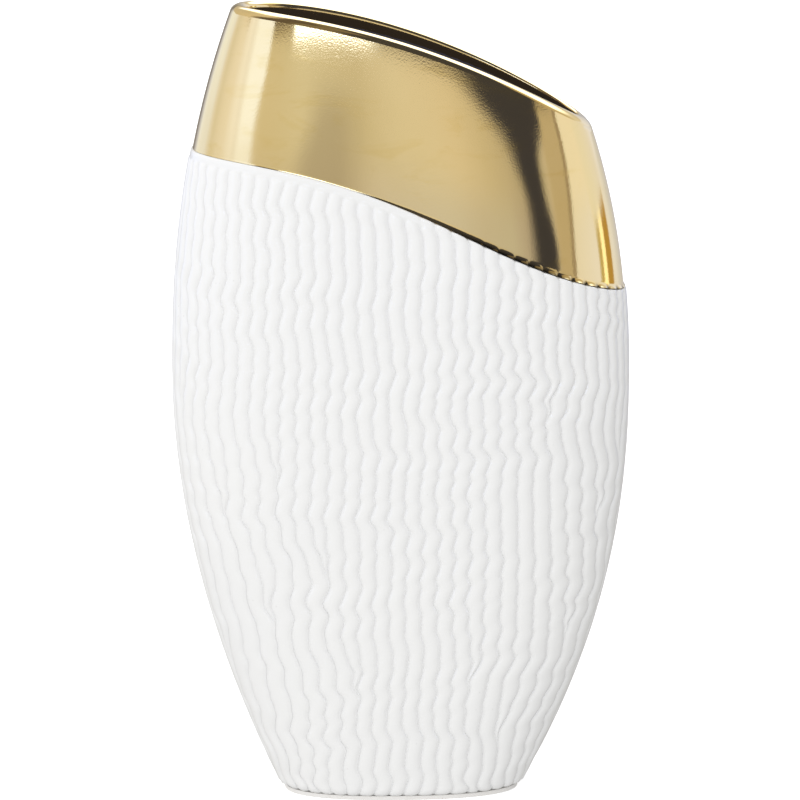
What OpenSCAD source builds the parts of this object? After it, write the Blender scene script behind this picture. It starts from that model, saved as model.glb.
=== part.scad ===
// Flattened oval porcelain vase with a slanted mouth.
// The wall is lofted through level sections near the foot that tilt, section by section, until
// the last one lies along the slanted lip. Every section is a superellipse. The clay wall, the
// rim and the coats inside are separate closed solids that share their faces.
// Origin: centre of the underside. +Z up, +X towards the low end of the mouth, -Y is the front.

/* [Overall] */
// Height of the lip at its high end
vase_h = 370; // [360:1:380]
// Width across the belly
belly_w = 212; // [204:1:220]
// Depth of the belly, front to back
belly_d = 97; // [90:1:104]
// Height of the widest section
belly_z = 198; // [190:1:206]
// Squareness of the outer sections, where 2 is an ellipse
outer_power = 2.4; // [2.2:0.1:2.8]
// Squareness of the hollow's sections
inner_power = 2.3; // [2.2:0.1:2.6]

/* [Foot] */
// Width of the underside
base_w = 111; // [104:1:118]
// Depth of the underside
base_d = 62; // [56:1:66]
// Height of the bare clay foot
foot_h = 2; // [1.5:0.5:3]
// How far the foot is set in from the wall's lower edge
foot_inset = 2; // [1:0.5:3]
// Width of the foot's resting band
foot_band = 7; // [6:0.5:9]
// Thickness of the floor
floor_t = 7; // [6:0.5:9]

/* [Profile] */
// Fullness of the left side below the belly
left_low_power = 1.9; // [1.7:0.05:2.1]
// Fullness of the right side below the belly
right_low_power = 2.25; // [2.05:0.05:2.45]
// Fullness of the front and back below the belly
depth_low_power = 2.2; // [1.8:0.05:2.4]
// Fullness of the left side above the belly
left_top_power = 2.3; // [2.1:0.05:2.5]
// Fullness of the right side above the belly
right_top_power = 2.2; // [2:0.05:2.4]
// Fullness of the front and back above the belly
depth_top_power = 2; // [1.8:0.05:2.2]
// How far the left side leans in between the belly and the lip
left_lean = 27.5; // [23.5:0.5:31.5]
// How far the right side leans in between the belly and the lip
right_lean = 18.5; // [15.5:0.5:21.5]
// How far the front and back lean in between the belly and the lip
depth_lean = 18; // [15:0.5:21]

/* [Mouth] */
// Height of the lip at its low end
lip_low_h = 316.5; // [307.5:0.5:325.5]
// Rise of the lip's curve above a straight line between its ends
lip_bulge = 10.5; // [7.5:0.5:13.5]
// Height of the lip's rounding
lip_round = 3.2; // [2.5:0.1:4]
// Depth of the gilded band inside the mouth at the high end
band_high = 4; // [3:0.5:6]
// Depth of the gilded band inside the mouth at the low end
band_low = 2; // [1.5:0.5:3]

/* [Seam] */
// Height of the seam between ribs and collar on the centre line
seam_h = 281; // [274:0.5:288]
// Even slope of the seam
seam_slope = 0.015; // [0:0.005:0.03]
// Height of the S-shaped fall, from its middle to either end
seam_fall = 38.5; // [34.5:0.5:42.5]
// Where the fall is steepest, measured from the centre line
seam_mid = 31; // [26:1:36]
// Length over which the seam falls
seam_run = 80; // [72:1:88]

/* [Wall] */
// Wall thickness on the front and back
wall_side = 5.5; // [4.5:0.5:6.5]
// Wall thickness at the left and right ends
wall_end = 7.5; // [6.5:0.5:8.5]
// How far the ribbed body stands proud of the collar
relief = 1.2; // [0.8:0.1:1.6]
// Thickness of the coats inside
coat_t = 0.6; // [0.5:0.1:0.8]

/* [Hidden] */

// Numbers of columns round the vase and of rows up each stretch of wall
columns = 64;
body_rows = 15;
collar_rows = 6;
lip_rows = 8;

floor_z = foot_h + floor_t;
half_w = belly_w / 2;
half_d = belly_d / 2;

// Sections are level up to this height, and tilt above it
level_z = floor_z + coat_t + 2;

// Ends of the lip's curve, left and right
lip_left_x = -(half_w - left_lean - 4);
lip_right_x = half_w - right_lean - 2;

function signed_power(v, p) = sign(v) * pow(abs(v), p);
function tanh(v) = (exp(2 * v) - 1) / (exp(2 * v) + 1);

// Height of the lip's crest over a place x
function lip_z(x) =
    let(u = (x - lip_left_x) / (lip_right_x - lip_left_x))
    vase_h + (lip_low_h - vase_h) * u + lip_bulge * 4 * u * (1 - u);

lip_mid_h = lip_z(0);

// Height of the seam over a place x
function seam_z(x) =
    seam_h - seam_slope * x
    - seam_fall * (tanh((x - seam_mid) / seam_run) + tanh(seam_mid / seam_run));

// Foot of the lip's rounding, and lower edge of the gilded band inside the mouth
function lip_base_z(x) = lip_z(x) - lip_round;
function band_z(x) =
    let(u = (x - lip_left_x) / (lip_right_x - lip_left_x))
    lip_base_z(x) - band_high + (band_high - band_low) * min(max(u, 0), 1);

// Half of a size that swells from the base to the belly and leans in above it
function swell(z, belly, base, low_power, lean, top_z, top_power) =
    z < belly_z
    ? belly - (belly - base) * pow((belly_z - z) / belly_z, low_power)
    : belly - lean * pow((z - belly_z) / (top_z - belly_z), top_power);

function left_half(z) =
    swell(z, half_w, base_w / 2, left_low_power, left_lean, vase_h, left_top_power);
function right_half(z) =
    swell(z, half_w, base_w / 2, right_low_power, right_lean, lip_low_h, right_top_power);
function depth_half(h) =
    swell(h, half_d, base_d / 2, depth_low_power, depth_lean, lip_mid_h, depth_top_power);

// Height over x of the section that crosses the centre line at h
function section_z(h, x) =
    h + (lip_z(x) - lip_mid_h) * pow(max(h - level_z, 0) / (lip_mid_h - level_z), 2);

// Half width at the end of a section, found by a few steps because the section is tilted
function end_half(h, side, x, steps) =
    let(z = section_z(h, side * x), next = side < 0 ? left_half(z) : right_half(z))
    steps == 0 ? next : end_half(h, side, next, steps - 1);

// Point on the section h at the angle a. skin = [inset at the front and back, inset at the ends,
// power of the superellipse].
function section_point(h, a, skin) =
    let(
        left = end_half(h, -1, half_w, 4) - skin[1],
        right = end_half(h, 1, half_w, 4) - skin[1],
        x = (right - left) / 2 + (right + left) / 2 * signed_power(cos(a), 2 / skin[2]),
        y = (depth_half(h) - skin[0]) * signed_power(sin(a), 2 / skin[2])
    )
    [x, y, section_z(h, x)];

// The four surfaces that the solids are bounded by
crest_skin = [0, 0, outer_power];
collar_skin = [relief, relief, outer_power];
clay_skin = [wall_side, wall_end, inner_power];
coat_skin = [wall_side + coat_t, wall_end + coat_t, inner_power];

// Edges that a column of wall ends at
SEAM = 0;
LIP = 1;
BAND = 2;
function edge_z(edge, x) = edge == SEAM ? seam_z(x) : edge == LIP ? lip_base_z(x) : band_z(x);

// Section at which the column at the angle a meets an edge
function edge_section(edge, a, skin, h = 300, steps = 8) =
    let(p = section_point(h, a, skin))
    steps == 0 ? h : edge_section(edge, a, skin, h + edge_z(edge, p[0]) - p[2], steps - 1);

function angle(i) = 360 * i / columns;

// Sections at which each column of a skin meets an edge, or one section for every column
function edge_sections(edge, skin) =
    [for (i = [0 : columns - 1]) edge_section(edge, angle(i), skin)];
function level_sections(z) = [for (i = [0 : columns - 1]) z];

// Ring of points on a skin, one section given for each column
function ring_at(sections, skin) =
    [for (i = [0 : columns - 1]) section_point(sections[i], angle(i), skin)];

// Evenly spaced rings of a skin, from the low sections up to the high ones
function rows_between(low, high, rows, skin) =
    [for (r = [0 : rows]) ring_at(low + (high - low) * r / rows, skin)];

crest_seam = edge_sections(SEAM, crest_skin);
collar_seam = edge_sections(SEAM, collar_skin);
collar_lip = edge_sections(LIP, collar_skin);
clay_seam = edge_sections(SEAM, clay_skin);
clay_band = edge_sections(BAND, clay_skin);
clay_lip = edge_sections(LIP, clay_skin);
coat_seam = edge_sections(SEAM, coat_skin);
coat_band = edge_sections(BAND, coat_skin);
coat_lip = edge_sections(LIP, coat_skin);

clay_body_rows = rows_between(level_sections(floor_z), clay_seam, body_rows, clay_skin);
clay_collar_rows = rows_between(clay_seam, clay_band, collar_rows - 1, clay_skin);
collar_out_rows = rows_between(collar_seam, collar_lip, collar_rows, collar_skin);
clay_lip_ring = ring_at(clay_lip, clay_skin);
coat_lip_ring = ring_at(coat_lip, coat_skin);
coat_band_ring = ring_at(coat_band, coat_skin);

function backwards(list) = [for (i = [len(list) - 1 : -1 : 0]) list[i]];
function without_first(list) = [for (i = [1 : len(list) - 1]) list[i]];
function joined(lists) = [for (l = lists) each l];

// Quads between two neighbouring rings
function band_faces(low, high) =
    [for (i = [0 : columns - 1])
        let(next = (i + 1) % columns)
        [low * columns + i, high * columns + i, high * columns + next, low * columns + next]];

// Closed tube of wall: rings go up the outside, over and down the inside
module wall_solid(rings) {
    count = len(rings);
    polyhedron(
        points = joined(rings),
        faces = joined([for (r = [0 : count - 1]) band_faces(r, (r + 1) % count)]),
        convexity = 6
    );
}

// Closed solid whose first and last rings are flat and capped
module capped_solid(rings) {
    count = len(rings);
    last = (count - 1) * columns;
    polyhedron(
        points = joined(rings),
        faces = concat(
            joined([for (r = [0 : count - 2]) band_faces(r, r + 1)]),
            [[for (i = [0 : columns - 1]) i]],
            [[for (i = [columns - 1 : -1 : 0]) last + i]]
        ),
        convexity = 6
    );
}

// Outline of the foot, set in from the wall's lower edge
module foot_outline(inset) {
    ring = ring_at(level_sections(foot_h), [inset, inset, outer_power]);
    polygon([for (p = ring) [p[0], p[1]]]);
}

module foot_ring() {
    color("tan")
    linear_extrude(height = foot_h)
    difference() {
        foot_outline(foot_inset);
        foot_outline(foot_inset + foot_band);
    }
}

module base_floor() {
    color("gainsboro")
    capped_solid([ring_at(level_sections(foot_h), clay_skin), clay_body_rows[0]]);
}

module ribbed_body() {
    outside = rows_between(level_sections(foot_h), crest_seam, body_rows, crest_skin);
    color("white")
    wall_solid(joined([
        outside,
        [collar_out_rows[0]],
        backwards(clay_body_rows),
        [ring_at(level_sections(foot_h), clay_skin)]
    ]));
}

module gold_collar() {
    color("darkgoldenrod")
    wall_solid(joined([collar_out_rows, [clay_lip_ring], backwards(clay_collar_rows)]));
}

// Half-round rim that spans the clay wall and the gilded coat inside it
module mouth_lip() {
    outer = collar_out_rows[collar_rows];
    inner = coat_lip_ring;
    function crown(i, r) =
        let(
            turn = 180 * r / lip_rows,
            x = (outer[i][0] + inner[i][0]) / 2 + (outer[i][0] - inner[i][0]) / 2 * cos(turn),
            y = (outer[i][1] + inner[i][1]) / 2 + (outer[i][1] - inner[i][1]) / 2 * cos(turn)
        )
        [x, y, lip_base_z(x) + lip_round * sin(turn)];
    color("gold")
    wall_solid(concat(
        [for (r = [0 : lip_rows]) [for (i = [0 : columns - 1]) crown(i, r)]],
        [clay_lip_ring]
    ));
}

module inner_lip_band() {
    color("goldenrod")
    wall_solid([
        clay_collar_rows[collar_rows - 1],
        clay_lip_ring,
        coat_lip_ring,
        coat_band_ring
    ]);
}

module inner_glaze() {
    coat_floor = level_sections(floor_z + coat_t);
    coat_body = rows_between(coat_floor, coat_seam, body_rows, coat_skin);
    coat_collar = rows_between(coat_seam, coat_band, collar_rows - 1, coat_skin);
    color("black")
    capped_solid(joined([
        clay_body_rows,
        without_first(clay_collar_rows),
        backwards(coat_collar),
        without_first(backwards(coat_body))
    ]));
}

foot_ring();
base_floor();
ribbed_body();
gold_collar();
mouth_lip();
inner_lip_band();
inner_glaze();
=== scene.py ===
"""Flattened oval porcelain vase: white glazed ribs, gold lustre collar and lip, black lining."""
import math

import bmesh
import bpy
import numpy as np
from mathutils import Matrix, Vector


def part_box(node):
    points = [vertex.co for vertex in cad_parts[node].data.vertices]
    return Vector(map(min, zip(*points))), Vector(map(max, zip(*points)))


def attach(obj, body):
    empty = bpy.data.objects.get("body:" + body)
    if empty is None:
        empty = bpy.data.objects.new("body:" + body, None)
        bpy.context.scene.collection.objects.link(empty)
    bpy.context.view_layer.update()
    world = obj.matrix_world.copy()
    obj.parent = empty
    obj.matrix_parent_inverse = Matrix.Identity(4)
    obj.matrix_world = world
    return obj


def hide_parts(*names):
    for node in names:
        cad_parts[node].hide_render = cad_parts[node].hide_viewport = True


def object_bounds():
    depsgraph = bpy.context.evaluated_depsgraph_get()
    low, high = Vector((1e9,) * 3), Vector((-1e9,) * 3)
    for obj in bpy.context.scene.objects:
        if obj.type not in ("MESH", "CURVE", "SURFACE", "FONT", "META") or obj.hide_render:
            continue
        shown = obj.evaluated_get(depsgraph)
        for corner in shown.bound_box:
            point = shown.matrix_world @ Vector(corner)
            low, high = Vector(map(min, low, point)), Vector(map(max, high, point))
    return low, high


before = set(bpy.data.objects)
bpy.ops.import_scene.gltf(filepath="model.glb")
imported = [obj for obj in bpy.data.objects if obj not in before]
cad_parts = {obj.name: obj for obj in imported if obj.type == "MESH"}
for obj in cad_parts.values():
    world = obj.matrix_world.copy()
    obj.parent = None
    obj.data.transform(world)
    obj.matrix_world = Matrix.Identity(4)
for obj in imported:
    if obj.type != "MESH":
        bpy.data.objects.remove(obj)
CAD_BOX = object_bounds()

MM = 0.001

# ---------------------------------------------------------------- sizes, in millimetres
VASE_H = (CAD_BOX[1].z - CAD_BOX[0].z) / MM
BELLY_W = (CAD_BOX[1].x - CAD_BOX[0].x) / MM
BELLY_D = (CAD_BOX[1].y - CAD_BOX[0].y) / MM
HALF_W, HALF_D = BELLY_W / 2, BELLY_D / 2
FOOT_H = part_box("foot_ring")[1].z / MM
FLOOR_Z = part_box("base_floor")[1].z / MM
# Height of the belly, and the underside
BELLY_Z = 198.0
BASE_W, BASE_D = 111.0, 62.0
FOOT_INSET, FOOT_BAND = 2.0, 7.0
# Fullness of the sections, and of the profiles below and above the belly
OUTER_POWER, INNER_POWER = 2.4, 2.3
LEFT_LOW, RIGHT_LOW, DEPTH_LOW = 1.9, 2.25, 2.2
LEFT_TOP, RIGHT_TOP, DEPTH_TOP = 2.3, 2.2, 2.0
# How far each side leans in at the top
LEFT_LEAN, RIGHT_LEAN, DEPTH_LEAN = 27.5, 18.5, 18.0
# The lip's low end, the bulge of its line, and its roundness
LIP_LOW_H, LIP_BULGE, LIP_ROUND = 316.5, 10.5, 3.2
LIP_LEFT_X = -(HALF_W - LEFT_LEAN - 4.0)
LIP_RIGHT_X = HALF_W - RIGHT_LEAN - 2.0
# Depth of the gilded band under the lip, at the high and at the low end
BAND_HIGH, BAND_LOW, BAND_RAGGED = 4.0, 2.0, 0.25
# The seam's height at the middle, its slope, and the size, place and run of its fall
SEAM_H, SEAM_SLOPE, SEAM_FALL, SEAM_MID, SEAM_RUN = 281.0, 0.015, 38.5, 31.0, 80.0
# The wall at the sides and ends, the collar's step in from the rib crests, and the coat inside
WALL_SIDE, WALL_END, RELIEF, COAT = 5.5, 7.5, 1.2, 0.6
# Sections are level up to here
LEVEL_Z = FLOOR_Z + COAT + 2.0
SEARCH_FROM, SEARCH_STEPS = 300.0, 14

# Skins: inset at the front and back, inset at the ends, power of the section
CREST = (0.0, 0.0, OUTER_POWER)
COLLAR = (RELIEF, RELIEF, OUTER_POWER)
CLAY = (WALL_SIDE, WALL_END, INNER_POWER)
COATED = (WALL_SIDE + COAT, WALL_END + COAT, INNER_POWER)


# ---------------------------------------------------------------- the vase's form
def smooth(low, high, v):
    """0 up to low and 1 from high on, with a soft start and end."""
    t = np.clip((np.asarray(v, float) - low) / (high - low), 0, 1)
    return t * t * (3 - 2 * t)


def along_lip(x):
    """0 at the lip's high end, 1 at its low end."""
    return (x - LIP_LEFT_X) / (LIP_RIGHT_X - LIP_LEFT_X)


def lip_z(x):
    """Height of the top of the lip."""
    u = along_lip(x)
    return VASE_H + (LIP_LOW_H - VASE_H) * u + LIP_BULGE * 4 * u * (1 - u)


LIP_MID_H = lip_z(0.0)


def lip_base_z(x):
    return lip_z(x) - LIP_ROUND


def band_z(x):
    """Height of the gilded band's lower edge."""
    return lip_base_z(x) - BAND_HIGH + (BAND_HIGH - BAND_LOW) * np.clip(along_lip(x), 0, 1)


def seam_z(x):
    """Height of the seam between the ribs and the collar."""
    fall = np.tanh((x - SEAM_MID) / SEAM_RUN) + math.tanh(SEAM_MID / SEAM_RUN)
    return SEAM_H - SEAM_SLOPE * x - SEAM_FALL * fall


def swell(z, belly, base, low_power, lean, top_z, top_power):
    """Half width at the height z: from the base out to the belly, and from there in to the top."""
    below = np.clip((BELLY_Z - z) / BELLY_Z, 0, None)
    above = np.clip((z - BELLY_Z) / (top_z - BELLY_Z), 0, None)
    low = belly - (belly - base) * below ** low_power
    return np.where(z < BELLY_Z, low, belly - lean * above ** top_power)


def left_half(z):
    return swell(z, HALF_W, BASE_W / 2, LEFT_LOW, LEFT_LEAN, VASE_H, LEFT_TOP)


def right_half(z):
    return swell(z, HALF_W, BASE_W / 2, RIGHT_LOW, RIGHT_LEAN, LIP_LOW_H, RIGHT_TOP)


def depth_half(h):
    return swell(h, HALF_D, BASE_D / 2, DEPTH_LOW, DEPTH_LEAN, LIP_MID_H, DEPTH_TOP)


def section_z(h, x):
    """Height at x of the section h, which tilts more and more towards the lip's own slant."""
    rise = np.clip(h - LEVEL_Z, 0, None) / (LIP_MID_H - LEVEL_Z)
    return h + (lip_z(x) - LIP_MID_H) * rise ** 2


def end_half(h, side):
    """Half width of the section h at its left (-1) or right (1) end."""
    half = right_half if side > 0 else left_half
    x = np.full(np.shape(h), HALF_W)
    for _ in range(5):
        x = half(section_z(h, side * x))
    return x


def signed_power(v, p):
    return np.sign(v) * np.abs(v) ** p


def section_point(h, a, skin):
    """Points of a skin at the section heights h and the angles a, as an array of x, y, z."""
    h = np.asarray(h, float)
    left, right = end_half(h, -1) - skin[1], end_half(h, 1) - skin[1]
    x = (right - left) / 2 + (right + left) / 2 * signed_power(np.cos(a), 2 / skin[2])
    y = (depth_half(h) - skin[0]) * signed_power(np.sin(a), 2 / skin[2])
    return np.stack(np.broadcast_arrays(x, y, section_z(h, x)), -1)


def section_normal(h, a, skin):
    """Outward unit normals of a skin, from small steps up and round it."""
    step_h, step_a = 0.4, 0.004
    up = section_point(h + step_h, a, skin) - section_point(h - step_h, a, skin)
    turn = section_point(h, a + step_a, skin) - section_point(h, a - step_a, skin)
    n = np.cross(turn, up)
    return n / np.linalg.norm(n, axis=-1, keepdims=True)


def edge_section(edge, angle_at, skin, count):
    """Section height at which each column meets an edge; angle_at gives a column's angle."""
    h = np.full(count, SEARCH_FROM)
    for _ in range(SEARCH_STEPS):
        p = section_point(h, angle_at(h), skin)
        h = h + edge(p[:, 0]) - p[:, 2]
    return h


# ---------------------------------------------------------------- the ribs' layout
RIBS = 72
QUARTER = RIBS // 4
RIB_PITCH, WHOLE_RIB = 7.2, 5.0
CLOSING_RUN = 36.0
# Ribs that end above the foot in each quarter, counted from the centre line, and where they end
ENDING_RIBS = {
    "front_left": {3: 50, 5: 107, 8: 150, 10: 84, 12: 132, 15: 176, 16: 60},
    "front_right": {4: 56, 7: 26, 9: 190, 11: 77, 13: 138, 15: 166, 16: 100},
    "back_right": {4: 92, 7: 48, 9: 150, 11: 118, 13: 184, 15: 70, 16: 30},
    "back_left": {3: 64, 6: 120, 8: 40, 10: 172, 12: 96, 14: 144, 16: 80},
}


def rib_edges(quarter, h, length):
    """Distances of a quarter's rib edges from the centre line, along sections of that length."""
    k = np.arange(QUARTER)
    there = np.ones((len(h), QUARTER))
    for rib, end in ENDING_RIBS[quarter].items():
        there[:, rib] = np.sin(math.pi / 2 * np.clip((h - end) / CLOSING_RUN, 0, 1))
    side = (k / (QUARTER - 1)) ** 1.5
    plain = (there * RIB_PITCH).sum(1)
    spread = (there * RIB_PITCH * side).sum(1)
    give = (length - plain) / spread
    width = there * RIB_PITCH * (1 + give[:, None] * side)
    return np.concatenate([np.zeros((len(h), 1)), np.cumsum(width, 1)], 1)


TOP_LEVEL, LEVEL_COUNT, TURN_COUNT, ARC_STEPS = 372.0, 260, 2881, 2400
LEVELS = np.linspace(FOOT_H, TOP_LEVEL, LEVEL_COUNT)
TURNS = np.linspace(-math.pi, math.pi, TURN_COUNT)


def measure_sections():
    """Tables over the levels: rib edge positions round each section, and angles by position."""
    grid = section_point(LEVELS[:, None], TURNS[None, :], CREST)
    steps = np.hypot(np.diff(grid[..., 0], axis=1), np.diff(grid[..., 1], axis=1))
    arc = np.concatenate([np.zeros((len(LEVELS), 1)), np.cumsum(steps, 1)], 1)
    middle = len(TURNS) // 2
    total, right = arc[:, -1], arc[:, middle]
    front = np.array([np.interp(0, g[:middle, 0], s[:middle]) for g, s in zip(grid, arc)])
    back = np.array([np.interp(0, g[:middle:-1, 0], s[:middle:-1]) for g, s in zip(grid, arc)])
    fl = rib_edges("front_left", LEVELS, front)
    fr = rib_edges("front_right", LEVELS, right - front)
    br = rib_edges("back_right", LEVELS, back - right)
    bl = rib_edges("back_left", LEVELS, total - back)
    edges = np.concatenate([
        front[:, None] - fl[:, :0:-1],
        front[:, None] + fr[:, :-1],
        back[:, None] - br[:, :0:-1],
        back[:, None] + bl,
    ], 1)
    places = np.linspace(0, 1, ARC_STEPS + 1)
    angles = np.array([np.interp(places * s[-1], s, TURNS) for s in arc])
    return edges, angles, total


RIB_EDGES, ARC_ANGLES, ARC_TOTAL = measure_sections()


def level_mix(h):
    """The level below the height h, and the part of the way from there to the next one."""
    f = np.clip((h - LEVELS[0]) / (LEVELS[1] - LEVELS[0]), 0, len(LEVELS) - 1.001)
    i = f.astype(int)
    return i, f - i


def angle_at_place(h, place):
    """Angle on the section h of a place measured round it in millimetres."""
    i, f = level_mix(h)
    total = ARC_TOTAL[i] * (1 - f) + ARC_TOTAL[i + 1] * f
    turns = np.floor(place / total)
    j = (place / total - turns) * ARC_STEPS
    k = np.minimum(j.astype(int), ARC_STEPS - 1)
    g = j - k
    low = ARC_ANGLES[i, k] * (1 - g) + ARC_ANGLES[i, k + 1] * g
    high = ARC_ANGLES[i + 1, k] * (1 - g) + ARC_ANGLES[i + 1, k + 1] * g
    return low * (1 - f) + high * f + turns * 2 * math.pi


class Drift:
    """Smooth seeded wandering between -1 and 1 that closes round the vase."""

    UP_CELLS, FIRST_CELL = 48, 4

    def __init__(self, seed, round_cells, cell_height):
        self.round_cells, self.cell_height = round_cells, cell_height
        self.values = np.random.default_rng(seed).uniform(-1, 1, (round_cells, self.UP_CELLS))

    def __call__(self, rib, h):
        u = np.asarray(rib, float) / RIBS * self.round_cells
        v = np.asarray(h, float) / self.cell_height + self.FIRST_CELL
        i, j = np.floor(u).astype(int), np.floor(v).astype(int)
        f, g = smooth(0, 1, u - i), smooth(0, 1, v - j)

        def cell(across, up):
            return self.values[(i + across) % self.round_cells, (j + up) % self.UP_CELLS]

        low = cell(0, 0) * (1 - f) + cell(1, 0) * f
        high = cell(0, 1) * (1 - f) + cell(1, 1) * f
        return low * (1 - g) + high * g


sway_phase, sway_size = Drift(3, 11, 120), Drift(4, 14, 55)
ripple_phase, ripple_slip = Drift(5, 12, 70), Drift(6, 40, 42)
ripple_size, elbow_size = Drift(7, 20, 36), Drift(8, 13, 44)
elbow_phase, wobble = Drift(9, 15, 60), Drift(10, RIBS, 9)
RIPPLE_RUN, ELBOW_RUN, SWAY_RUN = 12.6, 20.0, 50.0


def groove_sway(edge, h):
    """How far a groove wanders sideways, in millimetres."""
    ripple = 2 * math.pi * h / RIPPLE_RUN + 2.6 * ripple_phase(edge, h) + 1.1 * ripple_slip(edge, h)
    ripple_mm = 0.46 + 0.50 * ripple_size(edge, h)
    elbow = 2 * math.pi * h / ELBOW_RUN + 2.8 * elbow_phase(edge, h) + 0.5 * ripple_slip(edge, h)
    elbow_mm = 0.50 + 0.35 * (1 - smooth(40, 170, h)) + 0.55 * elbow_size(edge, h)
    sway = 2 * math.pi * h / SWAY_RUN + 2.4 * sway_phase(edge, h)
    sway_mm = 0.80 + 0.6 * sway_size(edge, h)
    saw = np.sin(ripple) - 0.25 * np.sin(2 * ripple)
    hook = np.sin(elbow) - 0.28 * np.sin(2 * elbow)
    return ripple_mm * saw + elbow_mm * hook + sway_mm * np.sin(sway) + 0.24 * wobble(edge, h)


def openness(width):
    """1 for a rib of its whole width, falling to 0 where it has ended."""
    return np.clip(width / WHOLE_RIB, 0, 1)


def rib_place(column, h):
    """Place round the section of a column, and the width of its rib, at the height h.

    A column is a rib's number plus the part of the rib that lies before it."""
    i, f = level_mix(h)
    rib = np.floor(column).astype(int)
    part = column - rib

    def groove(edge):
        lap, k = edge // RIBS, edge % RIBS
        at = RIB_EDGES[i, k] * (1 - f) + RIB_EDGES[i + 1, k] * f
        total = ARC_TOTAL[i] * (1 - f) + ARC_TOTAL[i + 1] * f
        return at + lap * total

    def sway(edge, back):
        """The edges of a rib that has ended are one groove, so the later one sways as the earlier."""
        own = groove_sway(edge, h)
        if back == 0:
            return own
        whole = openness(groove(edge) - groove(edge - 1))
        return own * whole + sway(edge - 1, back - 1) * (1 - whole)

    low, high = groove(rib), groove(rib + 1)
    start, end = low + sway(rib, 2), high + sway(rib + 1, 3)
    return start + part * (end - start), high - low


# ---------------------------------------------------------------- mesh tools
WELD_GAP, THIN_EDGE = 0.01 * MM, 0.0001 * MM
SHARP_ANGLE = math.radians(50)


def make_piece(name, rows, material, replaced, close_rows=False, attribute=None):
    """A piece whose mesh is a grid that is wrapped round the vase and welded closed.

    rows is an array of rings of points in millimetres; the last ring joins the first one when
    close_rows is set. attribute is a name and one number for each point."""
    rings, columns = rows.shape[:2]
    up = rings if close_rows else rings - 1
    bm = bmesh.new()
    bmesh.ops.create_grid(bm, x_segments=columns, y_segments=up, size=1.0)
    layer = bm.verts.layers.float.new(attribute[0]) if attribute else None
    for v in bm.verts:
        i = round((v.co.x + 1) / 2 * columns) % columns
        j = round((v.co.y + 1) / 2 * up) % rings
        if layer is not None:
            v[layer] = attribute[1][j, i]
        v.co = rows[j, i] * MM
    bmesh.ops.remove_doubles(bm, verts=bm.verts, dist=WELD_GAP)
    bmesh.ops.dissolve_degenerate(bm, edges=bm.edges, dist=THIN_EDGE)
    bmesh.ops.recalc_face_normals(bm, faces=bm.faces)
    mesh = bpy.data.meshes.new(name)
    bm.to_mesh(mesh)
    bm.free()
    mesh.shade_smooth()
    mesh.set_sharp_from_angle(angle=SHARP_ANGLE)
    mesh.materials.append(material)
    piece = bpy.data.objects.new(name, mesh)
    bpy.context.collection.objects.link(piece)
    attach(piece, "root")
    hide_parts(replaced)
    return piece


def even_turns(count):
    """Angles spread evenly round the vase."""
    return np.linspace(-math.pi, math.pi, count, endpoint=False)


# ---------------------------------------------------------------- shader tools
class Wire:
    """A node socket with arithmetic."""

    def __init__(self, shader, socket):
        self.shader, self.socket = shader, socket

    def _math(self, operation, a, b=None):
        values = {0: a} if b is None else {0: a, 1: b}
        return self.shader.node("ShaderNodeMath", {"operation": operation}, values)

    def __add__(self, other):
        return self._math("ADD", self, other)

    def __radd__(self, other):
        return self._math("ADD", other, self)

    def __sub__(self, other):
        return self._math("SUBTRACT", self, other)

    def __rsub__(self, other):
        return self._math("SUBTRACT", other, self)

    def __mul__(self, other):
        return self._math("MULTIPLY", self, other)

    def __rmul__(self, other):
        return self._math("MULTIPLY", other, self)

    def __truediv__(self, other):
        return self._math("DIVIDE", self, other)

    def __gt__(self, other):
        return self._math("GREATER_THAN", self, other)

    def minimum(self, other):
        return self._math("MINIMUM", self, other)

    def arcsine(self):
        return self._math("ARCSINE", self)

    def between(self, low, high):
        """0 at low and 1 at high, with a soft start and end."""
        return self.shader.node(
            "ShaderNodeMapRange", {"interpolation_type": "SMOOTHSTEP"},
            {"Value": self, "From Min": low, "From Max": high})


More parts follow.
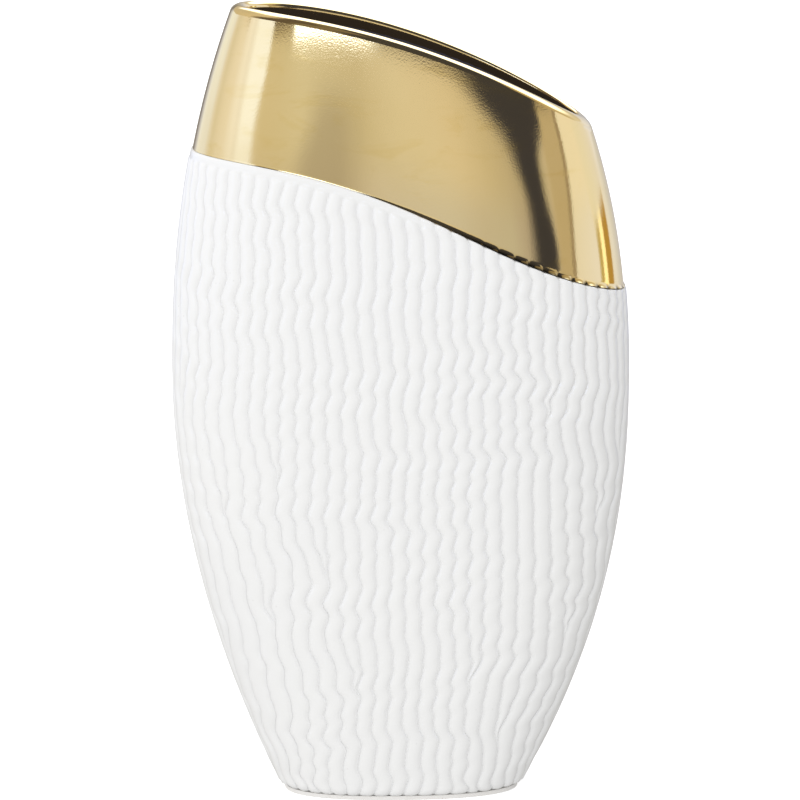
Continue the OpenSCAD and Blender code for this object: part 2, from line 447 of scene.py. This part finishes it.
class Shader:
    """Builds one node tree."""

    def __init__(self, owner):
        owner.use_nodes = True
        self.tree = owner.node_tree
        self.tree.nodes.clear()

    def node(self, kind, settings=None, values=None, out=0):
        """A node of that kind: its settings first, then values or links for its sockets."""
        made = self.tree.nodes.new(kind)
        for key, value in (settings or {}).items():
            if key == "stops":
                ramp = made.color_ramp
                while len(ramp.elements) > 1:
                    ramp.elements.remove(ramp.elements[0])
                for n, (place, colour) in enumerate(value):
                    stop = ramp.elements[0] if n == 0 else ramp.elements.new(place)
                    stop.position, stop.color = place, (*colour, 1)
            else:
                setattr(made, key, value)
        for key, value in (values or {}).items():
            socket = made.inputs[key]
            if isinstance(value, Wire):
                self.tree.links.new(value.socket, socket)
            else:
                socket.default_value = value
        return Wire(self, made.outputs[out])

    def place(self, scale=(1, 1, 1)):
        """Object coordinates in metres, scaled."""
        where = self.node("ShaderNodeTexCoord", out="Object")
        return self.node("ShaderNodeMapping", {}, {"Vector": where, "Scale": scale})

    def noise(self, where, scale, detail=3.0, rough=0.5, twist=0.0):
        return self.node("ShaderNodeTexNoise", {"noise_dimensions": "3D"}, {
            "Vector": where, "Scale": scale, "Detail": detail, "Roughness": rough,
            "Distortion": twist})

    def spots(self, where, scale, reach):
        """1 in small round spots, one to a cell."""
        near = self.node("ShaderNodeTexVoronoi", {"feature": "F1"},
                         {"Vector": where, "Scale": scale}, "Distance")
        return 1 - near.between(reach * 0.4, reach)

    def mix(self, factor, a, b, how="MIX"):
        made = self.tree.nodes.new("ShaderNodeMix")
        made.data_type, made.blend_type = "RGBA", how
        for socket, value in ((made.inputs[0], factor), (made.inputs[6], a), (made.inputs[7], b)):
            if isinstance(value, Wire):
                self.tree.links.new(value.socket, socket)
            else:
                socket.default_value = value if isinstance(value, (int, float)) else (*value, 1)
        return Wire(self, made.outputs[2])

    def bump(self, height, distance, strength=1.0):
        return self.node("ShaderNodeBump", {}, {
            "Height": height, "Distance": distance, "Strength": strength})

    def painted(self, name):
        """A number that the piece carries at each point."""
        return self.node("ShaderNodeAttribute", {"attribute_name": name}, {}, "Fac")

    def finish(self, **sockets):
        """The surface itself; a space in a socket's name is written as an underscore."""
        names = {k.replace("_", " "): v for k, v in sockets.items()}
        surface = self.node("ShaderNodeBsdfPrincipled", {}, names)
        end = self.tree.nodes.new("ShaderNodeOutputMaterial")
        self.tree.links.new(surface.socket, end.inputs["Surface"])


def new_shader(name):
    """A new material and the builder of its nodes."""
    material = bpy.data.materials.new(name)
    return material, Shader(material)


# ---------------------------------------------------------------- finishes
def white_glaze():
    """White glaze, darker in the grooves partly as pooled glaze and partly as painted shade, with a few
    pits.
    """
    material, s = new_shader("white_glaze")
    where = s.place()
    clouds = s.noise(where, 14.0, 3.0)
    fine = s.noise(where, 160.0, 2.0)
    white = s.mix(clouds, (0.886, 0.884, 0.874), (0.866, 0.866, 0.862))
    # Partly painted shade: the grooves are darkened by their depth, for pooled glaze and for the shade
    # that falls in them
    pooled_and_shaded = s.mix(s.painted("groove") * 0.30, white, (0.80, 0.806, 0.808))
    pits = s.spots(where, 260.0, 0.12) * (s.noise(where, 45.0, 1.0) > 0.62)
    colour = s.mix(pits * 0.35, pooled_and_shaded, (0.62, 0.62, 0.60))
    height = fine * 0.35 + s.noise(where, 60.0, 2.0) - pits * 0.8
    s.finish(
        Base_Color=colour, Metallic=0.0, Roughness=0.26 + clouds * 0.08 + fine * 0.05, IOR=1.5,
        Coat_Weight=0.3, Coat_Roughness=0.12, Normal=s.bump(height, 0.00003, 0.6))
    return material


# Height of the grain in the lustre, in metres
GRAIN = 0.000011


def gold_lustre(name, grain):
    """Bright lustre with a fine grain, rubbed patches, darker smears, and painted shade where the piece
    carries an edge value.
    """
    material, s = new_shader(name)
    where = s.place()
    clouds = s.noise(where, 22.0, 3.0, 0.55, 0.6)
    grains = s.noise(where, 1350.0, 1.0, 0.5)
    peel = s.noise(where, 420.0, 2.0, 0.5)
    rub = s.noise(s.place((0.35, 0.35, 1.0)), 90.0, 3.0, 0.6, 0.8)
    pits = s.spots(where, 300.0, 0.10) * (s.noise(where, 60.0, 1.0) > 0.66)
    gold = s.mix(clouds.between(0.3, 0.7), (0.93, 0.72, 0.345), (0.91, 0.70, 0.325))
    smear = s.noise(s.place((0.6, 0.6, 1.3)), 38.0, 4.0, 0.62, 1.4).between(0.54, 0.72)
    stained = s.mix(smear * 0.55, gold, (0.88, 0.65, 0.25))
    pitted = s.mix(pits * 0.5, stained, (0.35, 0.27, 0.15))
    # Painted shade: where the edge attribute is set, along the seam and over the rib ends, the gold
    # turns nearly black
    colour = s.mix(s.painted("edge"), pitted, (0.05, 0.04, 0.03))
    height = grains + peel * 0.10
    rough = 0.045 + 0.03 * clouds + 0.05 * rub.between(0.55, 0.8) + 0.03 * smear
    s.finish(Base_Color=colour, Metallic=1.0, Roughness=rough, Normal=s.bump(height, grain))
    return material


def black_glaze():
    """Black glaze with faint runs, and a faint painted glow that lifts it in the shade of the mouth."""
    material, s = new_shader("black_glaze")
    where = s.place()
    clouds = s.noise(where, 30.0, 3.0)
    streaks = s.noise(s.place((1.0, 1.0, 0.12)), 120.0, 2.0)
    colour = s.mix(clouds, (0.030, 0.028, 0.034), (0.045, 0.042, 0.050))
    # The emission is a painted glow, standing in for light that reaches down into the mouth
    s.finish(
        Base_Color=colour, Metallic=0.0, Roughness=0.13 + streaks * 0.12, IOR=1.5,
        Coat_Weight=0.5, Coat_Roughness=0.08, Emission_Color=(0.020, 0.018, 0.0245, 1.0),
        Emission_Strength=1.0, Normal=s.bump(streaks + clouds, 0.00015, 0.5))
    return material


def bare_clay(name):
    """Fired clay, sandy and scuffed."""
    material, s = new_shader(name)
    where = s.place()
    clouds = s.noise(where, 35.0, 4.0)
    sand = s.noise(where, 1400.0, 2.0, 0.7)
    specks = s.spots(where, 420.0, 0.16) * (s.noise(where, 90.0, 1.0) > 0.6)
    wear = s.noise(where, 70.0, 3.0, 0.6, 0.7).between(0.52, 0.7)
    clay = s.mix(clouds, (0.87, 0.855, 0.83), (0.81, 0.79, 0.76))
    scuffed = s.mix(wear * 0.4, clay, (0.66, 0.63, 0.59))
    colour = s.mix(specks * 0.6, scuffed, (0.40, 0.35, 0.29))
    s.finish(
        Base_Color=colour, Metallic=0.0, Roughness=0.82 + sand * 0.12,
        Normal=s.bump(sand + clouds * 0.6, 0.00012, 0.7))
    return material


WHITE = white_glaze()
GOLD = gold_lustre("gold_lustre", GRAIN)
GOLD_LIP = gold_lustre("gold_lustre_lip", GRAIN * 0.8)
BLACK = black_glaze()
CLAY_FOOT = bare_clay("bare_clay_foot")
CLAY_FLOOR = bare_clay("bare_clay_floor")

# ---------------------------------------------------------------- ribbed wall and collar
# Columns across each rib, close together by the grooves
RIB_STATIONS = np.array([0, 0.055, 0.13, 0.27, 0.5, 0.73, 0.87, 0.945])
COLUMNS = (np.arange(RIBS)[:, None] + RIB_STATIONS[None, :]).ravel()
PART = np.tile(RIB_STATIONS, RIBS)
# A rib's section: a narrow groove, a wide shoulder and a slight crown
GROOVE_DEPTH, GROOVE_REACH = 0.52, 0.6
SHOULDER_DEPTH, SHOULDER_REACH = 0.54, 2.9
CROWN = 0.12
TOP_ROUND, FOOT_ROUND = 1.1, 1.4
# The plain band: how far below the seam ribs stop, are whole again and dip, each with how much
# further down that is at a rib's edges
RIB_STOP, RIB_WHOLE, RIB_DIP = (2.9, 1.6), (4.4, 1.9), (3.4, 1.6)
PLAIN_DEPTH, DIP_DEPTH, DIP_REACH = 0.42, 0.22, 0.8
# The cove at the foot of the collar, narrow on the left and wide on the right
COVE_REACH, COVE_WIDENS, COVE_OUT, COVE_GROWS = 0.6, 2.6, 0.06, 0.80
DOT_REACH, DOT_HEIGHT, LINE_HEIGHT = 1.1, 1.3, 1.5
WALL_ROWS, COLLAR_ROWS, INSIDE_ROWS = 148, 54, 8
# Rows of the wall close under the seam, in millimetres below it
TOP_ROWS = np.array([9, 7.8, 6.7, 5.7, 4.9, 4.2, 3.6, 3.0, 2.4, 1.8, 1.2, 0.75, 0.35, 0.1, 0.0])


def wall_angle(h):
    """Angle of each column of the wall at the height h."""
    return angle_at_place(h, rib_place(COLUMNS, h)[0])


CREST_SEAM = edge_section(seam_z, wall_angle, CREST, len(COLUMNS))
SEAM_ANGLE = wall_angle(CREST_SEAM)
SEAM_X = section_point(CREST_SEAM, SEAM_ANGLE, CREST)[:, 0]
# 1 where a plain band runs under the seam, 0 where the ribs run up to it
PLAIN_BAND = 1 - smooth(-4, 26, SEAM_X)


def from_seam(edge, skin):
    """Section heights at which columns that keep their angle from the seam meet an edge."""
    return edge_section(edge, lambda level: SEAM_ANGLE, skin, len(COLUMNS))


def rounding(over, radius):
    """How far a rounded edge has fallen, so far over into its radius."""
    return radius - np.sqrt(np.clip(radius ** 2 - over ** 2, 0, None))


def rib_hollow(width, part):
    """How far the glaze lies below the crest at a part of a rib that is so many mm wide."""
    near = np.minimum(part, 1 - part) * width
    groove = GROOVE_DEPTH * np.exp(-(near / GROOVE_REACH) ** 2)
    shoulder = np.cos(math.pi / 2 * np.clip(near / SHOULDER_REACH, 0, 1)) ** 2
    crown = CROWN * openness(width) * (2 * part - 1) ** 2
    return groove + SHOULDER_DEPTH * shoulder + crown


def ribbed_wall():
    """Ribs, the plain band under the seam, and the wall's plain inside."""
    v = np.linspace(0, 1, WALL_ROWS)[:, None]
    main = FOOT_H + (CREST_SEAM - TOP_ROWS[0] - FOOT_H) * v
    h = np.concatenate([main, CREST_SEAM - TOP_ROWS[1:, None]])
    place, width = rib_place(np.broadcast_to(COLUMNS, h.shape), h)
    angle = angle_at_place(h, place)
    part = np.broadcast_to(PART, h.shape)
    hollow = rib_hollow(width, part)
    gap = CREST_SEAM - h
    # Rib ends are round, and meet the plain band in a shallow dip
    round_end = 1 - np.sqrt(1 - (0.92 * (2 * part - 1)) ** 2)
    stop, whole, middle = (at + more * round_end for at, more in (RIB_STOP, RIB_WHOLE, RIB_DIP))
    ends = (1 - smooth(stop, whole, gap)) * PLAIN_BAND
    dip = np.exp(-((gap - middle) / DIP_REACH) ** 2)
    hollow = hollow * (1 - ends) + PLAIN_DEPTH * ends + DIP_DEPTH * dip * PLAIN_BAND
    # The glaze rounds over at the seam and at the lower edge
    hollow += rounding(np.clip(TOP_ROUND - gap, 0, TOP_ROUND), TOP_ROUND)
    hollow += rounding(np.clip(FOOT_ROUND - (h - FOOT_H), 0, FOOT_ROUND), FOOT_ROUND)
    outside = section_point(h, angle, CREST) - section_normal(h, angle, CREST) * hollow[..., None]
    # Groove depth, which the glaze uses for its pooled colour and painted shade in the grooves
    depth = np.clip(hollow / (GROOVE_DEPTH + SHOULDER_DEPTH), 0, 1)
    # Inside, against the lining
    w = np.linspace(1, 0, INSIDE_ROWS)[:, None]
    inner_h = FOOT_H + (from_seam(seam_z, CLAY) - FOOT_H) * w
    inner_angle = angle[0] + (SEAM_ANGLE - angle[0]) * smooth(0, 1, w)
    inside = section_point(inner_h, inner_angle, CLAY)
    rows = np.concatenate([outside, inside])
    grooves = np.concatenate([depth, np.zeros(inside.shape[:2])])
    return make_piece("ribbed_wall", rows, WHITE, "ribbed_body", True,
                      ("groove", grooves))


def gold_collar():
    """The collar stands on the wall's top edge in a small cove and leans in to the lip."""
    v = np.linspace(0, 1, COLLAR_ROWS)
    v = (0.25 * v + 0.75 * v ** 1.7)[:, None]
    start, lip_h = from_seam(seam_z, COLLAR), from_seam(lip_base_z, COLLAR)
    h = start + (lip_h - start) * v
    angle = np.broadcast_to(SEAM_ANGLE, h.shape)
    # The cove at the foot of the collar follows the rib ends under it
    gap = h - start
    cove = smooth(-24, 44, SEAM_X)
    flare = np.clip(1 - gap / (COVE_REACH + COVE_WIDENS * cove), 0, 1) ** 2
    from_groove = np.minimum(PART, 1 - PART) * RIB_PITCH
    dots = np.exp(-(from_groove / DOT_REACH) ** 2) * smooth(22, 52, SEAM_X)
    out = (COVE_OUT + COVE_GROWS * cove) * (1 - 0.8 * dots) * flare
    outside = section_point(h, angle, COLLAR) + section_normal(h, angle, COLLAR) * out[..., None]
    # Painted shade and dark reflection: the lustre's colour is darkened along the seam and over the rib
    # ends
    line = smooth(8, 40, SEAM_X) * (1 - smooth(62, 84, SEAM_X))
    painted_seam_shade = np.maximum(dots * np.exp(-(gap / DOT_HEIGHT) ** 2), line * np.exp(-(gap / LINE_HEIGHT) ** 2))
    clay_seam, clay_lip = from_seam(seam_z, CLAY), from_seam(lip_base_z, CLAY)
    w = np.linspace(1, 0, INSIDE_ROWS)[:, None]
    inside = section_point(clay_seam + (clay_lip - clay_seam) * w, angle[:INSIDE_ROWS], CLAY)
    rows = np.concatenate([outside, inside])
    edge = np.concatenate([painted_seam_shade, np.zeros(inside.shape[:2])])
    return make_piece("gold_collar_wall", rows, GOLD, "gold_collar", True,
                      ("edge", edge))


ribbed_wall()
gold_collar()

# ---------------------------------------------------------------- lip, band and lining
LIP_COLUMNS = 480
LIP_TURNS = even_turns(LIP_COLUMNS)
FLOOR_FILLET = 5.0
ragged = Drift(21, 60, 40)


def brushed_z(x):
    """Lower edge of the gilded band, as a brush leaves it."""
    return band_z(x) + BAND_RAGGED * ragged(x * 0.6, x)


def edge_points(edge, skin):
    """Section heights and points at which a skin meets an edge."""
    h = edge_section(edge, lambda level: LIP_TURNS, skin, LIP_COLUMNS)
    return h, section_point(h, LIP_TURNS, skin)


def climb(h, skin):
    """Direction in which a skin climbs, for 1 mm of height."""
    up = section_point(h + 0.5, LIP_TURNS, skin) - section_point(h - 0.5, LIP_TURNS, skin)
    return up / up[:, 2:]


outer_h, outer_ring = edge_points(lip_base_z, COLLAR)
clay_h, clay_ring = edge_points(lip_base_z, CLAY)
coat_h, coat_ring = edge_points(lip_base_z, COATED)
band_h = edge_points(brushed_z, COATED)[0]
clay_band_h = edge_points(brushed_z, CLAY)[0]


def lip_roll():
    """A round roll from the collar over to the coat inside."""
    t = np.linspace(0, math.pi, 19)[:, None, None]
    across = (1 - np.cos(t)) / 2
    base = outer_ring + (coat_ring - outer_ring) * across
    base[..., 2] = lip_base_z(base[..., 0])
    up = climb(outer_h, COLLAR) * (1 - across) + climb(coat_h, COATED) * across
    crown = base + up * LIP_ROUND * np.sin(t)
    rows = np.concatenate([crown, clay_ring[None]])
    return make_piece("lip_roll", rows, GOLD_LIP, "mouth_lip", True)


def inner_band():
    """Gilding that laps over the lip into the mouth."""
    v = np.linspace(0, 1, 7)[:, None]
    coat = section_point(coat_h + (band_h - coat_h) * v, LIP_TURNS, COATED)
    clay = section_point(clay_h + (clay_band_h - clay_h) * v[::-1], LIP_TURNS, CLAY)
    rows = np.concatenate([coat, clay])
    return make_piece("inner_band", rows, GOLD_LIP, "inner_lip_band", True)


def lining():
    """The black coat: down the wall, round a fillet, over the floor and back up against the clay."""
    v = np.linspace(0, 1, 60)[:, None]
    coated_floor = FLOOR_Z + COAT
    start = coated_floor + FLOOR_FILLET
    inner = section_point(start + (band_h - start) * v[::-1], LIP_TURNS, COATED)
    corner = []
    for turn in np.linspace(0, math.pi / 2, 7)[1:]:
        inset = FLOOR_FILLET * (1 - math.cos(turn))
        level = np.full(LIP_COLUMNS, coated_floor + FLOOR_FILLET * (1 - math.sin(turn)))
        skin = (COATED[0] + inset, COATED[1] + inset, INNER_POWER)
        corner.append(section_point(level, LIP_TURNS, skin))
    flat = [corner[-1] * (k, k, 1) for k in (0.75, 0.5, 0.25, 0.08, 0.0)]
    under = section_point(np.full(LIP_COLUMNS, FLOOR_Z), LIP_TURNS, CLAY)
    flat_under = [under * (k, k, 1) for k in (0.0, 0.08, 0.3, 0.6)]
    outer = section_point(FLOOR_Z + (clay_band_h - FLOOR_Z) * v, LIP_TURNS, CLAY)
    rows = np.concatenate([inner, corner, flat, flat_under, outer])
    return make_piece("black_lining", rows, BLACK, "inner_glaze", True)


lip_roll()
inner_band()
lining()


# ---------------------------------------------------------------- floor and foot
FLOOR_COLUMNS, FOOT_COLUMNS = 240, 360
FLOOR_HOLLOW, FOOT_CORNER = 1.4, 0.5


def clay_floor():
    """The floor inside the wall. Its underside is hollowed a little."""
    turns = even_turns(FLOOR_COLUMNS)
    low = section_point(np.full(FLOOR_COLUMNS, FOOT_H), turns, CLAY)
    high = section_point(np.full(FLOOR_COLUMNS, FLOOR_Z), turns, CLAY)
    rows = []
    for k in (0.0, 0.05, 0.2, 0.4, 0.6, 0.75, 0.9, 0.97, 1.0):
        ring = low * (k, k, 1)
        ring[:, 2] = FOOT_H + FLOOR_HOLLOW * (1 - smooth(0.0, 0.85, k))
        rows.append(ring)
    rows += [low + (high - low) * k for k in (0.3, 0.7)]
    rows += [high * (k, k, 1) for k in (1.0, 0.97, 0.7, 0.4, 0.1, 0.0)]
    return make_piece("clay_floor", np.array(rows), CLAY_FLOOR, "base_floor")


def foot_band():
    """The bare resting band, with softened corners."""
    turns = even_turns(FOOT_COLUMNS)
    level = np.full(FOOT_COLUMNS, FOOT_H)
    rows = []
    for inset, side in ((FOOT_INSET, 1), (FOOT_INSET + FOOT_BAND, -1)):
        edge = []
        for turn in np.linspace(0, math.pi / 2, 6):
            back = inset + side * FOOT_CORNER * (1 - math.sin(turn))
            ring = section_point(level, turns, (back, back, OUTER_POWER))
            ring[:, 2] = FOOT_CORNER * (1 - math.cos(turn))
            edge.append(ring)
        edge.append(section_point(level, turns, (inset, inset, OUTER_POWER)))
        rows += edge if side > 0 else edge[::-1]
    return make_piece("foot_band", np.array(rows), CLAY_FOOT, "foot_ring", True)


clay_floor()
foot_band()


# ---------------------------------------------------------------- floor, camera and light
STUDIO_REACH = 6.0
CAMERA_AT, CAMERA_AIM = Vector((-0.185, -3.226, 0.856)), Vector((-0.0004, 0.0, 0.184))
LENS_LENGTH, SENSOR_WIDTH = 320.25, 36.0


def studio_floor():
    """A plain pale floor that neither tints nor darkens what stands on it."""
    bm = bmesh.new()
    bmesh.ops.create_grid(bm, x_segments=8, y_segments=8, size=STUDIO_REACH)
    mesh = bpy.data.meshes.new("studio_floor")
    bm.to_mesh(mesh)
    bm.free()
    material, s = new_shader("studio_floor")
    cloud = s.noise(s.place(), 0.8, 2.0)
    s.finish(Base_Color=s.mix(cloud, (0.95, 0.95, 0.95), (0.94, 0.94, 0.94)), Roughness=0.9,
             Emission_Color=(1, 1, 1, 1), Emission_Strength=0.50)
    mesh.materials.append(material)
    floor = bpy.data.objects.new("studio_floor", mesh)
    bpy.context.collection.objects.link(floor)
    floor.visible_diffuse = floor.visible_glossy = False


def camera():
    """A long lens a little above the vase and to its left."""
    lens = bpy.data.cameras.new("camera")
    lens.lens, lens.sensor_width = LENS_LENGTH, SENSOR_WIDTH
    lens.clip_start, lens.clip_end = 0.05, 60.0
    view = bpy.data.objects.new("camera", lens)
    bpy.context.collection.objects.link(view)
    view.location = CAMERA_AT
    view.rotation_euler = (CAMERA_AIM - CAMERA_AT).to_track_quat("-Z", "Y").to_euler()
    bpy.context.scene.camera = view


# Colours of the room by direction, in degrees from the front and positive to the right: the
# middle of the room, the room close to the table top, and the ceiling
ROOM = (
    (-180, (0.45, 0.44, 0.43)), (-172, (0.28, 0.28, 0.28)), (-163, (0.22, 0.22, 0.24)),
    (-156, (0.42, 0.46, 0.62)), (-149, (0.63, 0.70, 0.98)), (-138, (0.92, 1.08, 1.54)),
    (-120, (0.95, 1.10, 1.58)), (-108, (0.89, 1.02, 1.50)), (-100, (0.83, 0.88, 1.12)),
    (-93, (0.77, 0.79, 0.90)), (-80, (0.85, 0.88, 1.05)), (-70, (0.90, 0.94, 1.16)),
    (-60, (0.98, 1.08, 1.50)), (-36, (0.70, 0.68, 0.64)), (-27, (0.70, 0.69, 0.66)),
    (-17, (0.72, 0.73, 0.74)), (0, (0.64, 0.63, 0.61)), (8, (0.76, 0.76, 0.78)),
    (15, (0.75, 0.72, 0.70)), (22, (0.64, 0.61, 0.56)), (31, (0.52, 0.50, 0.48)),
    (44, (0.52, 0.50, 0.48)), (50, (0.90, 0.93, 1.08)), (78, (0.92, 0.95, 1.10)),
    (86, (0.88, 0.93, 1.10)), (110, (0.86, 0.93, 1.24)), (122, (0.88, 0.98, 1.45)),
    (135, (0.88, 1.00, 1.50)), (165, (0.70, 0.74, 0.86)), (180, (0.45, 0.44, 0.43)),
)
LOW_ROOM = (
    (-180, (0.45, 0.44, 0.43)), (-163, (0.22, 0.22, 0.24)), (-149, (0.62, 0.69, 0.97)),
    (-138, (0.92, 1.06, 1.50)), (-108, (0.88, 1.00, 1.46)), (-93, (0.77, 0.79, 0.90)),
    (-73, (0.84, 0.89, 1.14)), (-60, (0.90, 0.98, 1.30)), (-36, (0.66, 0.65, 0.68)),
    (-20, (0.63, 0.62, 0.63)), (-3, (0.62, 0.61, 0.66)), (4, (0.66, 0.68, 0.82)),
    (12, (0.65, 0.68, 0.80)), (18, (0.60, 0.61, 0.69)), (27, (0.58, 0.60, 0.68)),
    (31, (0.51, 0.50, 0.58)), (44, (0.47, 0.45, 0.50)), (50, (0.84, 0.87, 1.02)),
    (77, (0.88, 0.95, 1.28)), (83, (0.88, 0.95, 1.28)),
    (85, (0.58, 0.50, 0.26)), (89, (0.58, 0.50, 0.26)), (91, (1.40, 1.38, 1.15)),
    (97, (1.30, 1.25, 1.00)), (99, (0.50, 0.34, 0.11)), (110, (0.50, 0.34, 0.11)),
    (114, (0.88, 0.96, 1.30)), (124, (0.84, 0.94, 1.34)), (133, (0.74, 0.82, 1.10)),
    (180, (0.45, 0.44, 0.43)),
)
CEILING = (
    (-180, (0.60, 0.58, 0.56)), (-74, (0.72, 0.67, 0.62)), (-64, (0.40, 0.36, 0.33)),
    (-54, (0.13, 0.11, 0.10)), (-27, (0.13, 0.11, 0.10)), (-20, (0.21, 0.185, 0.14)),
    (-4, (0.21, 0.18, 0.15)), (3, (0.065, 0.064, 0.078)), (55, (0.048, 0.050, 0.075)),
    (63, (0.55, 0.47, 0.33)), (85, (0.62, 0.56, 0.45)), (110, (0.80, 0.82, 0.90)),
    (180, (0.60, 0.58, 0.56)),
)
# The same for the even light on the glaze
SOFT_ROOM = (
    (-180, 0.90), (-130, 0.96), (-60, 0.99), (-20, 0.99), (12, 0.95), (42, 0.90), (60, 0.66),
    (78, 0.36), (160, 0.36), (180, 0.90),
)
CARD_COOL, GREY_GAP, DARK_GAP = (1.07, 1.24, 1.85), (0.38, 0.37, 0.40), (0.050, 0.052, 0.082)
SHADED_WALL, BROWN_GAP = (0.55, 0.505, 0.44), (0.31, 0.27, 0.24)
SOFTBOX, OVERHEAD, TABLE_TOP = (3.2, 3.9, 6.2), (2.6, 2.9, 3.7), (0.62, 0.60, 0.56)
CEILING_LEAN = 22.0
LIGHT_LEVEL, LIGHT_RISE = 1.21, 0.29


def stops_round(colours):
    """Places along a colour ramp for colours given by direction in degrees."""
    return [((angle + 180) / 360, colour) for angle, colour in colours]


def band(value, low, high, soft_low, soft_high=None):
    """1 between two limits that may themselves change, with soft edges in degrees."""
    rise = (value - low) / soft_low + 0.5
    fall = (value - high) / (soft_high or soft_low) + 0.5
    return rise.between(0.0, 1.0) * (1 - fall.between(0.0, 1.0))


def mirrored_room(s, x, y, az, el, turn):
    """What the gold mirrors: cards, gaps and lamps in a room, by azimuth and elevation."""

    def walls(colours, lean=0.0):
        """A ramp round the room that may lean over high up. It holds halves, to stay under 1."""
        halves = stops_round([(angle, [c / 2 for c in colour]) for angle, colour in colours])
        along = turn - el.between(36.0, 56.0) * (lean / 360)
        ramp = s.node("ShaderNodeValToRGB", {"stops": halves}, {"Fac": along})
        return s.mix(1.0, ramp, (2.0, 2.0, 2.0), "MULTIPLY")

    above_table = (el.between(3.0, 9.0) + az.between(80.0, 84.0) * el.between(1.6, 4.2)).minimum(1.0)
    look = s.mix(above_table, walls(LOW_ROOM), walls(ROOM))
    # Bright card on the left, with a grey gap beside it
    card_edge = el.between(8.0, 15.0) * 4.5 - 41.0
    card = band(az, -54.0, card_edge, 8.0, 5.0 - el.between(9.0, 14.0) * 3.0)
    look = s.mix(card * (0.72 + el.between(6.0, 10.0) * 0.28), look, CARD_COOL)
    grey_start = el.between(5.0, 11.0) * 6.0 - 18.0
    look = s.mix(band(az, grey_start, -2.0, 9.0) * (1 - el.between(9.0, 14.0)) * 0.6, look, GREY_GAP)
    # Shaded wall, stand and dark gap on the right
    stand = 55.5 + el.between(0.0, 14.0) * 6.0
    look = s.mix(band(az, 46.0, stand + 1.5, 4.0, 1.5), look, SHADED_WALL)
    look = s.mix(band(az, stand - 1.3, stand + 1.3, 1.0) * 0.85, look, BROWN_GAP)
    gap_start = 34.0 - el.between(6.0, 12.0) * 3.5 - el.between(11.0, 16.0) * 10.0
    gap_end = 45.5 - el.between(2.0, 8.0) * 3.2 + el.between(10.5, 14.5) * 6.0
    look = s.mix(band(az, gap_start, gap_end, 5.0 + el.between(8.0, 13.0) * 4.0, 3.0), look, DARK_GAP)
    # Ceiling, which starts lower on the right and over the grey gap, and higher behind the card
    rise = el + band(az, 2.0, 62.0, 6.0) * 1.6 - band(az, -66.0, -38.0, 3.0) * 4.5
    ceiling = (rise + band(az, -36.0, -23.0, 3.0)).between(16.8, 18.8)
    look = s.mix(ceiling, look, walls(CEILING, CEILING_LEAN))
    # Lamps and table top
    look = s.mix(band(az, -22.5, 4.0, 3.0, 6.0) * band(el, 16.3, 20.0, 1.5), look, SOFTBOX)
    overhead = y.between(-0.20, 0.10) * x.between(-0.40, -0.15) * el.between(25.0, 40.0)
    look = s.mix(overhead, look, OVERHEAD)
    return s.mix(1 - el.between(-14.0, -6.0), look, TABLE_TOP)


def even_room(s, z, turn):
    """What lights the matt and glazed surfaces: dim behind on the right, brighter from above."""
    greys = stops_round([(angle, (v, v, v)) for angle, v in SOFT_ROOM])
    plain = s.node("ShaderNodeValToRGB", {"stops": greys}, {"Fac": turn})
    lift = s.node("ShaderNodeCombineXYZ", {}, {n: LIGHT_LEVEL + z * LIGHT_RISE for n in range(3)})
    return s.mix(1.0, plain, lift, "MULTIPLY")


def studio_light():
    """A soft room of light, seen as plain white behind the vase."""
    world = bpy.data.worlds.new("studio")
    bpy.context.scene.world = world
    s = Shader(world)
    ray = s.node("ShaderNodeTexCoord", out="Generated")
    x, y, z = (s.node("ShaderNodeSeparateXYZ", {}, {0: ray}, n) for n in range(3))
    az = s.node("ShaderNodeMath", {"operation": "ARCTAN2"}, {0: x, 1: -1 * y}) * (180 / math.pi)
    el = z.arcsine() * (180 / math.pi)
    turn = (az + 180.0) / 360.0
    mirrored = s.node("ShaderNodeLightPath", out="Is Glossy Ray")
    behind = s.node("ShaderNodeLightPath", out="Is Camera Ray")
    shown = s.mix(mirrored, even_room(s, z, turn), mirrored_room(s, x, y, az, el, turn))
    glow = s.node("ShaderNodeBackground", {}, {"Color": s.mix(behind, shown, (1.0, 1.0, 1.0))})
    end = s.tree.nodes.new("ShaderNodeOutputWorld")
    s.tree.links.new(glow.socket, end.inputs["Surface"])


studio_floor()
camera()
studio_light()
bpy.context.scene.view_settings.view_transform = "Standard"
